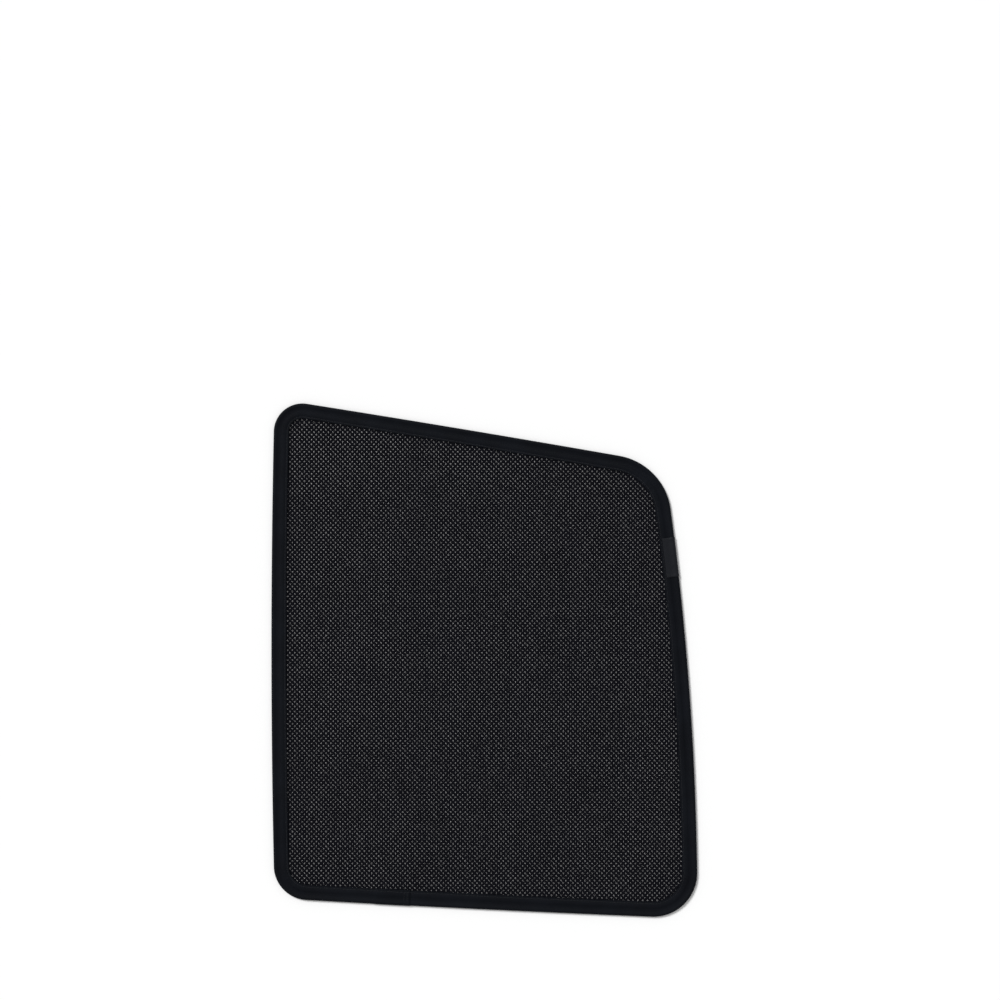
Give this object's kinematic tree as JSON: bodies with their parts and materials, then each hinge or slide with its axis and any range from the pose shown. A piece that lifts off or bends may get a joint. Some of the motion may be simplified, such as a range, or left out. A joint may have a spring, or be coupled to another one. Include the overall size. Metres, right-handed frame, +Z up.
{
  "type": "car window sunshade",
  "caption": "Flat side-window sunshade: a knitted mesh panel with rounded corners, held taut by a spring wire loop inside a folded edge binding.",
  "frame": {"origin": "under the middle of the shade's box, on the surface that it lies on", "axes": "+X towards the bowed side, +Y towards the shorter, slanting side, +Z up out of the face that carries the label"},
  "size_m": [0.4084, 0.4924, 0.0047],
  "materials": {
    "mesh_fabric": "matt black warp-knitted polyester mesh",
    "binding_tape": "smooth black woven polyester tape with a faint blue sheen",
    "spring_steel": "bright drawn spring steel wire",
    "crimp_sleeve": "plain crimped sleeve",
    "seam_thread": "black polyester sewing thread",
    "label_satin": "bare black satin-woven label"
  },
  "bodies": {
    "root": {"mesh_panel": "mesh_fabric", "edge_binding": "binding_tape", "spring_wire": "spring_steel", "wire_ferrule": "crimp_sleeve", "needle_thread": "seam_thread", "bobbin_thread": "seam_thread", "woven_label": "label_satin"}
  },
  "joints": []
}
